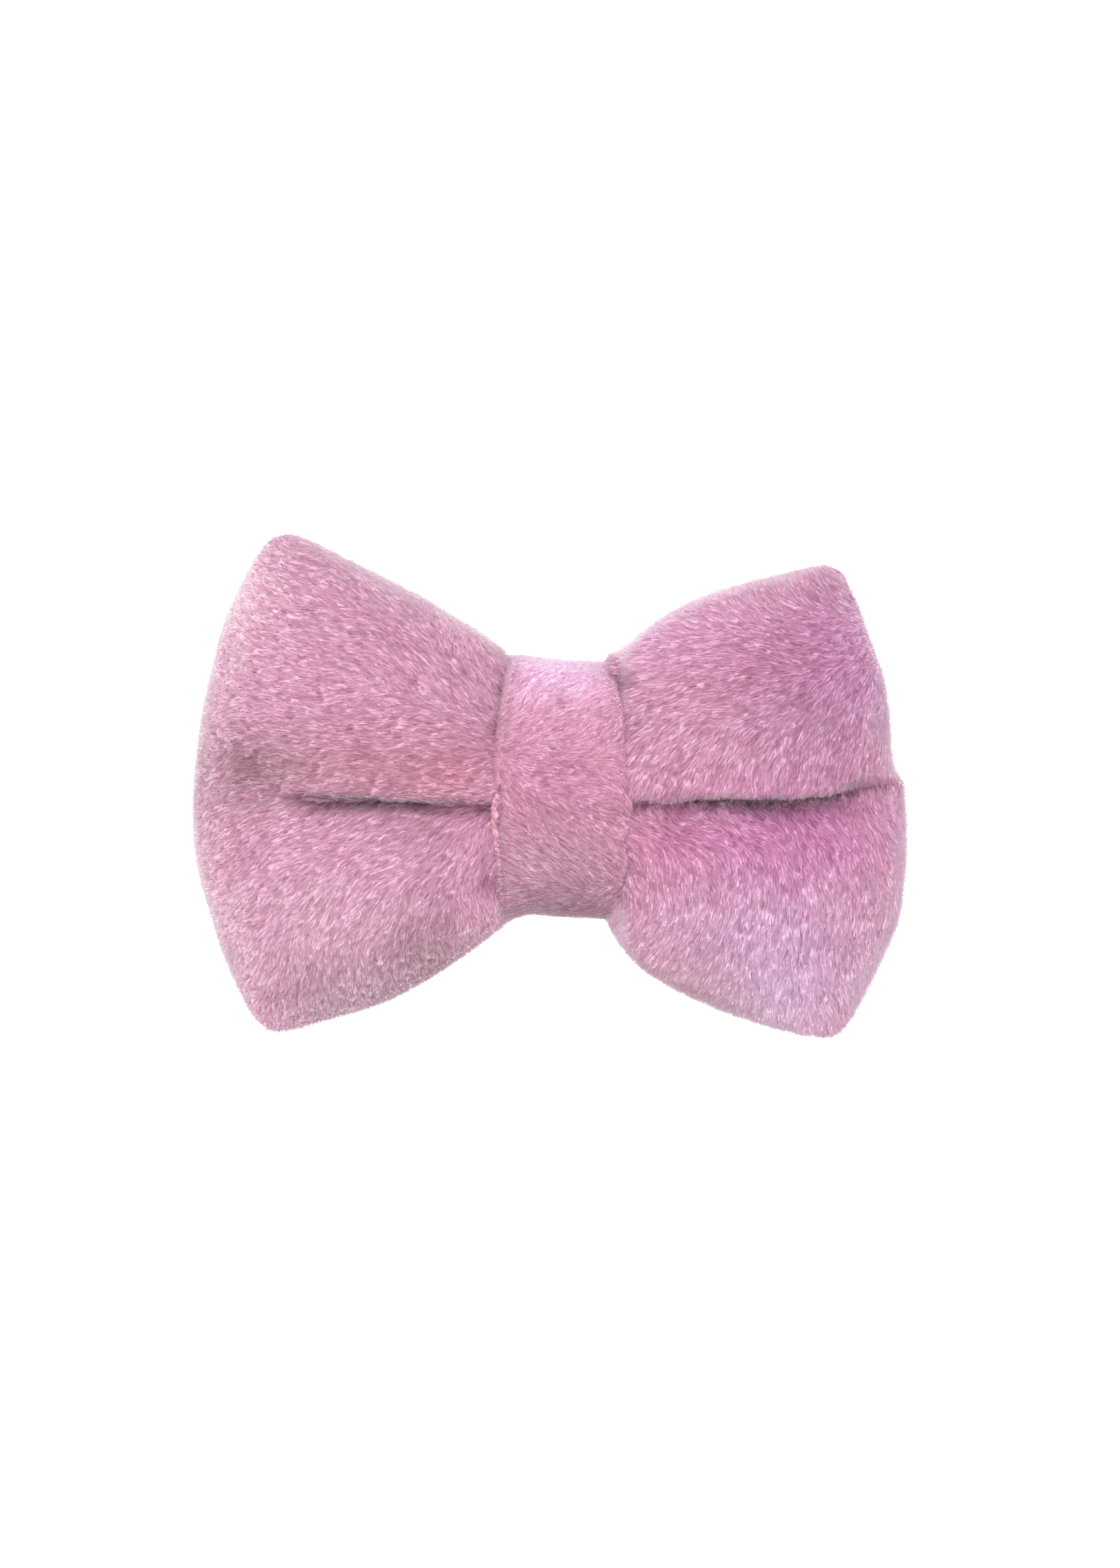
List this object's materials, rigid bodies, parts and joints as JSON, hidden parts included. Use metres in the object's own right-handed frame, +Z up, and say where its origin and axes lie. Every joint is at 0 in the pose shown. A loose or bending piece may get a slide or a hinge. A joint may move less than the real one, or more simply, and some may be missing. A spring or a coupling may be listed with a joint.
{
  "type": "plush bow on a hair clip",
  "caption": "Puffy pink plush bow with a raised centre wrap, on a ribbon-lined alligator clip that fastens it to hair or to a spa headband.",
  "frame": {"origin": "On the gripping face of the clip's fixed plate, in the middle of the bow.", "axes": "+X to the viewer's right across the bow and out through the open tip of the clip, +Y from the bow's face through the clip towards the head, +Z up."},
  "size_m": [0.1272, 0.0442, 0.09],
  "materials": {
    "plush": "deep velour pile, mauve pink",
    "plush_back": "deep velour pile, mauve pink",
    "wrap_plush": "velour pile, mauve pink",
    "fibre": "loose polyester fibre",
    "thread": "twisted polyester thread",
    "felt": "pressed felt",
    "ribbon": "ribbed grosgrain ribbon",
    "glue": "hot-melt glue",
    "clip_steel": "bright nickel-plated pressed sheet",
    "pin_steel": "headed steel pin",
    "spring_steel": "drawn spring wire"
  },
  "bodies": {
    "bow": {"front_panel": "plush", "back_panel": "plush_back", "left_filling": "fibre", "right_filling": "fibre", "edge_stitches": "thread", "waist_binding": "thread", "center_wrap": "wrap_plush", "wrap_stitches": "thread", "backing_felt": "felt", "felt_stitches": "thread", "glue_layer": "glue", "clip_ribbon": "ribbon", "clip_plate": "clip_steel", "clip_pin": "pin_steel", "clip_spring": "spring_steel"},
    "jaw": {"clip_lever": "clip_steel"}
  },
  "joints": [
    {"name": "jaw_hinge", "type": "hinge", "parent": "bow", "child": "jaw", "pos_m": [-0.01, 0.0024, 0], "axis": [0, 0, 1], "range_deg": [0, 24], "stiffness_Nm_per_rad": 0.05, "springref_deg": -34.38, "deforming": ["clip_spring"]}
  ]
}
